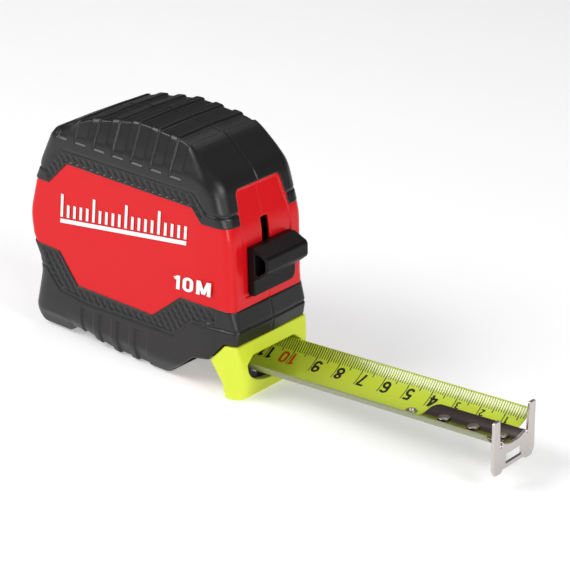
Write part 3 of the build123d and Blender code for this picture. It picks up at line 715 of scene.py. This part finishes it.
# Strokes of each sign, in a box 5.5 high and 3.2 wide, or 4.4 for the M
SIGNS = {
    "0": [arc(1.6, 3.9, 1.12, 1.12, 0, 180) + arc(1.6, 1.6, 1.12, 1.12, 180, 360) + [(2.72, 3.9)]],
    "1": [[(0.75, 4.25), (1.9, 4.9)], [(2.0, 5.5), (2.0, 0.0)]],
    "2": [arc(1.6, 3.95, 1.12, 1.08, 165, -25) + [(0.6, 0.7)], [(0.2, 0.48), (3.0, 0.48)]],
    "3": [arc(1.5, 4.05, 1.08, 0.97, 150, -90), arc(1.5, 1.6, 1.2, 1.12, 90, -150)],
    "4": [[(2.3, 5.5), (2.3, 0.0)], [(2.1, 5.1), (0.5, 1.7)], [(0.15, 1.55), (3.2, 1.55)]],
    "5": [[(0.6, 5.02), (2.9, 5.02)], [(0.95, 5.02), (0.75, 2.7)], arc(1.5, 1.8, 1.2, 1.33, 130, -150)],
    "6": [arc(1.62, 3.95, 1.12, 1.07, 15, 180) + [(0.5, 1.6)], arc(1.62, 1.65, 1.12, 1.17, 0, 360)],
    "7": [[(0.2, 5.02), (2.95, 5.02)], [(2.7, 4.9), (1.2, 0.0)]],
    "8": [arc(1.6, 4.1, 0.98, 0.93, 0, 360), arc(1.6, 1.62, 1.14, 1.14, 0, 360)],
    "9": [arc(1.58, 1.55, 1.12, 1.07, 195, 360) + [(2.7, 3.9)], arc(1.58, 3.85, 1.12, 1.17, 0, 360)],
    "M": [
        [(0.5, 0.0), (0.5, 5.5)], [(0.7, 5.3), (2.2, 0.5)],
        [(3.7, 5.3), (2.2, 0.5)], [(3.9, 5.5), (3.9, 0.0)],
    ],
}


STROKE_WIDTH = 0.98
STROKE_STEP = 0.6  # strokes are divided to this length, so that they follow the hollow blade
MARK_LIFT, LIFT_STEP = 0.02, 0.008


def stroke(path, width):
    """Flat band along a path, with mitred corners, as points and quads."""
    dense = [path[0]]
    for a, b in zip(path[:-1], path[1:]):
        parts = max(1, int(math.dist(a, b) / STROKE_STEP))
        for k in range(1, parts + 1):
            dense.append((a[0] + (b[0] - a[0]) * k / parts, a[1] + (b[1] - a[1]) * k / parts))
    line = np.array(dense)
    way = np.diff(line, axis=0)
    way = way / np.linalg.norm(way, axis=1)[:, None]
    mean = np.concatenate([way[:1], way[:-1] + way[1:], way[-1:]])
    if math.dist(path[0], path[-1]) < 1e-6:
        mean[0] = mean[-1] = way[0] + way[-1]
    mean = mean / np.linalg.norm(mean, axis=1)[:, None]
    first = np.concatenate([way[:1], way])
    miter = np.clip(np.abs((mean * first).sum(1)), 0.5, 1)
    normal = np.stack([-mean[:, 1], mean[:, 0]], 1) * (width / 2 / miter)[:, None]
    points = np.stack([line - normal, line + normal], 1).reshape(-1, 2)
    faces = [(2 * k, 2 * k + 2, 2 * k + 3, 2 * k + 1) for k in range(len(line) - 1)]
    return points, faces


def sign(char, origin, right, up, bold):
    """A sign's bands, with its box's corner at origin and its sides along right and up."""
    out = []
    for path in SIGNS[char]:
        points, faces = stroke(path, bold)
        placed = np.array(origin) + points[:, :1] * np.array(right) + points[:, 1:] * np.array(up)
        out.append((placed.tolist(), faces))
    return out


def blade_sign(char, x_start, foot, size):
    """A digit that reads towards the case, with its foot on the far side of the blade."""
    return sign(char, (x_start, foot), (-size, 0.0), (0.0, -size), STROKE_WIDTH)


def tick(x, s_outer, s_inner, width, parts):
    """A line across the blade as a row of quads."""
    points, faces = [], []
    for k, s in enumerate(np.linspace(s_outer, s_inner, parts + 1)):
        points += [(x - width / 2, s), (x + width / 2, s)]
        if k:
            faces.append((2 * k - 2, 2 * k - 1, 2 * k + 1, 2 * k))
    return points, faces


def gather(marks, lay):
    """Joins marks into one mesh, laid at four heights in turn so that marks that cross share no plane."""
    verts, faces = [], []
    for k, (points, shapes) in enumerate(marks):
        faces += [[i + len(verts) for i in shape] for shape in shapes]
        verts += np.asarray(lay(points, MARK_LIFT + LIFT_STEP * (k % 4))).tolist()
    return verts, faces


def printed(name, marks, ink):
    """One mesh of printed marks on the blade, riding on the blade's body."""
    verts, faces = gather(marks, on_blade)
    return piece(name, verts, faces, ink, "blade")


# Places across the blade, from its middle line
MARK_OUTER = BLADE_HALF_WIDTH - 0.25
MARK_INNER = 11.7
LONG_MARK_INNER = 10.6
CENTIMETRE_INNER = 5.2
SHORT_CENTIMETRE_INNER = 7.6  # beside the tongue
NUMBER_FOOT = 10.8
SMALL_FOOT, SMALL_SIZE = 11.0, 0.55
NUMBER_LEAD, SMALL_LEAD = 3.7, 2.5  # how much nearer the hook a number starts than its mark
MARK_WIDTH, LONG_MARK_WIDTH = 0.30, 0.36
BESIDE_TONGUE = 3  # the numbers up to this one are small


def make_marks():
    """Millimetre and centimetre marks and their numbers."""
    black = []
    for k in range(3, int(BLADE_STRAIGHT)):
        inner = MARK_INNER if k % 5 else LONG_MARK_INNER
        black.append(tick(-k, MARK_OUTER, inner, MARK_WIDTH if k % 5 else LONG_MARK_WIDTH, 4))
    for k in range(1, 12):
        inner = CENTIMETRE_INNER if k > BESIDE_TONGUE else SHORT_CENTIMETRE_INNER
        black.append(tick(-10.0 * k, LONG_MARK_INNER, inner, MARK_WIDTH, 5))
    for number in range(BESIDE_TONGUE + 1, 10):
        black += blade_sign(str(number), NUMBER_LEAD - 10.0 * number, NUMBER_FOOT, 1.0)
    for number in range(1, BESIDE_TONGUE + 1):
        black += blade_sign(str(number), SMALL_LEAD - 10.0 * number, SMALL_FOOT, SMALL_SIZE)
    for start in (-106.9, -110.3):
        black += blade_sign("1", start, NUMBER_FOOT, 1.0)
    red = blade_sign("1", -96.9, NUMBER_FOOT, 1.0) + blade_sign("0", -100.9, NUMBER_FOOT, 1.0)
    return [printed("blade_marks_black", black, INK), printed("blade_marks_red", red, RED_INK)]


# ---------------------------------------------------------------- hook

TONGUE_GAP = 0.1  # between the tongue and the blade's upper face
TONGUE_START = 0.7  # it begins at the plate's front face
PLATE_HOLE_HALF = 5.0
PLATE_HOLE_ENDS = (-13.1, -9.7)
RIVET_HOLE = 1.6
RIVET_SLOT_SHIFT, RIVET_SLOT_HALF = 0.5, 0.6  # the holes are slots, so that the hook can shift


def make_hook():
    """Hook plate and its tongue on the blade."""
    step = 0.16
    outer = BLADE_RADIUS - TONGUE_GAP
    inner = outer - TONGUE_T
    prong = [
        (7.0, -14.9, 0.3), (7.6, -15.9, 0.4), (11.4, -15.9, 0.8), (13.0, -13.2, 0.8), (13.0, 3.8, 0.8),
        (12.5, 4.3, 0.6), (9.3, 4.3, 0.6), (8.6, -6.2, 0.5), (7.6, -6.4, 0.4),
    ]
    saddle = [(y, BLADE_CENTRE - math.sqrt(inner**2 - y * y), 0.1) for y in np.linspace(7.0, 0.5, 14)]
    outline = rounded(mirrored(prong + saddle, 0))
    low, high = (-0.8, -14.0, -17.0), (2.0, 14.0, 5.4)
    x, y, z = axes(low, high, step)
    plate = meet(outline_field(y, z, outline), slab(x, 0.0, HOOK_T), 0.22)
    hole = np.maximum(np.abs(y) - PLATE_HOLE_HALF, slab(z, *PLATE_HOLE_ENDS))
    plate = cut(plate, hole, 0.2)
    verts, faces = net(plate.astype(np.float32), low, step)
    verts = from_blade(verts - (HOOK_SETBACK, 0.0, 0.0))
    hook = piece("hook_plate", verts, faces, HOOK_METAL, "hook")
    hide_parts("hook")

    low, high = (-TONGUE_LENGTH - 0.8, -7.8, -8.6), (1.2, 7.8, -4.0)
    x, y, z = axes(low, high, step)
    ring = np.hypot(y, z - BLADE_CENTRE)
    strip = slab(ring, inner, outer)
    half_plan = [(-TONGUE_LENGTH, TONGUE_HALF, 3.4), (2.0, TONGUE_HALF, 0.1)]
    plan = outline_field(x, y, rounded(mirrored(half_plan, 1)))
    strip = meet(strip, np.maximum(plan, x - TONGUE_START), 0.2)
    for at in RIVETS:
        run = np.maximum(np.abs(x - at - RIVET_SLOT_SHIFT) - RIVET_SLOT_HALF, 0)
        slot = np.hypot(run, y) - RIVET_HOLE
        strip = np.maximum(strip, -slot)
    verts, faces = net(strip.astype(np.float32), low, step)
    piece("hook_tongue", from_blade(verts), faces, TONGUE_METAL, "hook")


def lathe(profile, segments=40):
    """Turned piece about Z from (radius, height) points, closed at the axis."""
    verts, faces = [], []
    for r, h in profile:
        for k in range(segments):
            a = 2 * math.pi * k / segments
            verts.append((r * math.cos(a), r * math.sin(a), h))
    for i in range(len(profile) - 1):
        for k in range(segments):
            n = (k + 1) % segments
            faces.append((i * segments + k, i * segments + n, (i + 1) * segments + n, (i + 1) * segments + k))
    return np.array(verts), faces


DOME_RADIUS, DOME_BASE, DOME_RISE = 2.2, 0.40, 0.50


def make_rivets():
    """Domed rivet heads and the eyelet behind the tongue."""
    face = BLADE_CENTRE - BLADE_RADIUS + TONGUE_GAP + TONGUE_T
    dome = [
        (0.001, -1.9), (1.95, -1.9), (1.95, -1.5), (1.35, -1.3), (1.35, 0.25), (2.05, 0.25),
        (DOME_RADIUS, DOME_BASE),
    ]
    for a in np.linspace(0, math.pi / 2, 9)[1:]:
        radius = max(DOME_RADIUS * math.cos(a) ** 0.8, 0.001)
        dome.append((radius, DOME_BASE + DOME_RISE * math.sin(a)))
    verts, faces = [], []
    for at in RIVETS:
        v, f = lathe(dome)
        faces += [[i + len(verts) for i in q] for q in f]
        verts += (v + (at, 0, face)).tolist()
    rivets = piece("rivet_heads", from_blade(verts), faces, RIVET_METAL, "blade")
    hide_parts("hook_rivets")
    ring = [(0.7, -0.6), (1.95, -0.5), (1.95, -0.25), (1.3, -0.2), (1.3, 0.15)]
    ring += [(1.55 + 0.45 * math.cos(a), 0.38 + 0.3 * math.sin(a)) for a in np.linspace(-1.2, math.pi, 12)]
    ring += [(0.85, 0.2), (0.7, -0.6)]
    v, f = lathe(ring)
    v = from_blade(v + (EYELET_X, 0, BLADE_CENTRE - BLADE_RADIUS))
    eyelet = piece("eyelet_ring", v, f, RIVET_METAL, "blade")
    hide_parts("blade_eyelet")


# ---------------------------------------------------------------- belt clip

CLIP_T = 1.2
CLIP_GAP = 0.05
CLIP_LOOP = 2.55  # the upper turn's radius at its middle line
CLIP_TURN_Z = 65.5
CLIP_BEND_Y, CLIP_BEND_Z = 25.4, 31.0  # where the outer arm comes nearest the case
CLIP_HOLE = 1.75
DRIVER_HOLE = 3.7
DRIVER_HOLE_Y = 25.0
CLIP_GROOVE = ((REEL_X, 39.0), (REEL_X, 46.0))
CLIP_GROOVE_DEPTH, CLIP_GROOVE_WIDTH = 0.3, 1.5


def make_clip():
    """Sprung strip, turned over at the top and flared at the rounded tip."""
    step = 0.25
    near = CASE_HALF - PANEL_SINK + CLIP_GAP + CLIP_T / 2
    far = near + 2 * CLIP_LOOP
    path = [(near, 44.0), (near, CLIP_TURN_Z)]
    for a in np.linspace(0, math.pi, 17):
        path.append((near + CLIP_LOOP - CLIP_LOOP * math.cos(a), CLIP_TURN_Z + CLIP_LOOP * math.sin(a)))
    path += [(CLIP_BEND_Y, CLIP_BEND_Z), (28.2, 22.0)]
    low, high = (-18.5, 21.8, 20.0), (2.5, 30.0, 70.0)
    x, y, z = axes(low, high, step)
    strip = line_distance(y, z, path) - CLIP_T / 2
    plan = [(-17.0, 20.8, 3.5), (1.0, 20.8, 3.5), (1.0, 70.0, 1.0), (-17.0, 70.0, 1.0)]
    strip = meet(strip, outline_field(x, z, rounded(plan)), 0.35)
    screw = np.hypot(x - REEL_X, z - CLIP_SCREW_Z)
    strip = cut(strip, np.maximum(screw - CLIP_HOLE, y - DRIVER_HOLE_Y), 0.15)
    strip = cut(strip, np.maximum(screw - DRIVER_HOLE, DRIVER_HOLE_Y - y), 0.2)
    groove = line_distance(x, z, CLIP_GROOVE)
    arm_rise = CLIP_TURN_Z - CLIP_BEND_Z
    arm_middle = CLIP_BEND_Y + (far - CLIP_BEND_Y) * (z - CLIP_BEND_Z) / arm_rise
    dent = CLIP_GROOVE_DEPTH * np.exp(-((groove / CLIP_GROOVE_WIDTH) ** 2))
    strip = strip + dent * (y > arm_middle)
    verts, faces = net(strip.astype(np.float32), low, step)
    clip = piece("spring_clip", verts, faces, STEEL, None)
    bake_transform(clip)
    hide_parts("belt_clip")


# ---------------------------------------------------------------- prints on the case

def on_panel(points, lift):
    """Points in (x, z) laid on the side panel that faces -Y."""
    return [(u, -(CASE_HALF - PANEL_SINK + lift), v) for u, v in points]


PRINT_CLIMB = 0.155
RULER_START, RULER_PITCH, RULER_COUNT = -39.0, 3.0, 20
RULER_MARK, RULER_SHORT, RULER_LONG = 1.2, 5.0, 9.0
RULER_FOOT = 46.6
BAR_LOW, BAR_HIGH = 44.3, 45.9
LENGTH_SIGNS = (("1", 13.7), ("0", 18.7), ("M", 24.8))
LENGTH_FOOT, LENGTH_CLIMB = 35.3, 0.11
LENGTH_WIDE, LENGTH_TALL, LENGTH_BOLD = 1.42, 0.97, 1.12


def make_prints():
    """A plain row of ruler marks, climbing towards the front, and the blade's length."""
    shapes = []
    quad = [(0, 1, 2, 3)]
    for k in range(RULER_COUNT):
        height = RULER_LONG if k % 5 == 0 else RULER_SHORT
        x = RULER_START + RULER_PITCH * k
        end = x + RULER_MARK
        z = RULER_FOOT + PRINT_CLIMB * RULER_PITCH * k
        mark = [(x, z), (end, z + RULER_MARK * PRINT_CLIMB), (end, z + height), (x, z + height)]
        shapes.append((mark, quad))
    length = RULER_PITCH * (RULER_COUNT - 1) + RULER_MARK
    end = RULER_START + length
    rise = length * PRINT_CLIMB
    bar = [(RULER_START, BAR_LOW), (end, BAR_LOW + rise), (end, BAR_HIGH + rise), (RULER_START, BAR_HIGH)]
    shapes.append((bar, quad))
    for char, left in LENGTH_SIGNS:
        foot = LENGTH_FOOT + LENGTH_CLIMB * (left - LENGTH_SIGNS[0][1])
        shapes += sign(char, (left, foot), (LENGTH_WIDE, PRINT_CLIMB), (0.0, LENGTH_TALL), LENGTH_BOLD)
    verts, faces = gather(shapes, on_panel)
    piece("panel_print", verts, faces, WHITE_INK, "case")


# ---------------------------------------------------------------- carried-over nodes

CARRIED = {
    "wear_pad": DARK, "hook_backing_strip": RIVET_METAL, "lock_carrier": DARK,
    "lock_detent_spring": SPRING_METAL, "blade_coil": BLADE_BACK, "reel_drum": DARK, "drum_cover": DARK,
    "power_spring": SPRING_METAL, "centre_post": DARK, "thrust_washers": NYLON,
    "case_screws": SCREW_METAL, "belt_clip_screw": SCREW_METAL, "belt_clip_insert": BRASS,
}


def paint_carried():
    """Gives each CAD node that stays its finish."""
    for name, finish in CARRIED.items():
        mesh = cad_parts[name].data
        mesh.materials.clear()
        mesh.materials.append(finish)


# ---------------------------------------------------------------- stage

# Name, place, target, width, height and power
LIGHTS = (
    ("key", (-0.52, -0.62, 0.72), (0.03, 0, 0.04), 0.7, 0.5, 8.8),
    ("front", (0.90, -0.05, 0.60), (0.03, 0, 0.04), 0.45, 0.45, 4.7),
    ("edge", (0.95, -0.70, 0.16), (0.03, 0, 0.04), 0.18, 0.5, 4.4),
    ("top", (-0.1, 0.45, 0.8), (0, 0, 0.04), 0.5, 0.5, 1.0),
)
CAMERA_PLACE = (0.551830, -0.709648, 0.431179)
CAMERA_RIGHT = (0.79595016, 0.60192464, 0.06442107)
CAMERA_UP = (-0.29454039, 0.29210062, 0.90990284)
CAMERA_BACK = (0.52887551, -0.74321192, 0.40978865)
LENS = 170.92
FLOOR_GAP = 0.0002


def make_stage():
    """Pale floor, soft lights and the camera."""
    floor_material = material("floor", (0.80, 0.80, 0.80), 0.7, tone=0.005, Emission_Color=(1, 1, 1, 1),
                              Emission_Strength=0.38)
    mesh = bpy.data.meshes.new("floor")
    mesh.from_pydata([(-4, -4, 0), (4, -4, 0), (4, 4, 0), (-4, 4, 0)], [], [(0, 1, 2, 3)])
    mesh.materials.append(floor_material)
    floor = bpy.data.objects.new("floor", mesh)
    floor.location.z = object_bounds()[0][2] - FLOOR_GAP
    bpy.context.scene.collection.objects.link(floor)

    world = bpy.data.worlds.new("soft_room")
    world.use_nodes = True
    background = world.node_tree.nodes["Background"]
    background.inputs["Color"].default_value = (0.96, 0.97, 1.0, 1)
    background.inputs["Strength"].default_value = 0.11
    bpy.context.scene.world = world
    for name, place, target, width, height, power in LIGHTS:
        data = bpy.data.lights.new(name, "AREA")
        data.shape = "RECTANGLE"
        data.size = width
        data.size_y = height
        data.energy = power
        light = bpy.data.objects.new(name, data)
        light.location = place
        back = np.array(place) - np.array(target)
        back = back / np.linalg.norm(back)
        right = np.cross((0, 0, 1), back)
        right = right / np.linalg.norm(right)
        up = np.cross(back, right)
        aim = Matrix((right, up, back)).transposed()
        light.rotation_euler = aim.to_euler()
        bpy.context.scene.collection.objects.link(light)

    camera_data = bpy.data.cameras.new("camera")
    camera_data.sensor_width = 36.0
    camera_data.lens = LENS
    camera_data.clip_start = 0.05
    camera = bpy.data.objects.new("camera", camera_data)
    turn = Matrix((CAMERA_RIGHT, CAMERA_UP, CAMERA_BACK)).transposed().to_4x4()
    camera.matrix_world = Matrix.Translation(CAMERA_PLACE) @ turn
    bpy.context.scene.collection.objects.link(camera)
    bpy.context.scene.camera = camera
    bpy.context.scene.view_settings.view_transform = "Standard"


make_case()
make_mouth()
make_button()
blade_strip = make_blade()
marks = make_marks()
for soft in [blade_strip] + marks:
    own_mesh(soft)
make_hook()
make_rivets()
make_clip()
make_prints()
paint_carried()
make_stage()
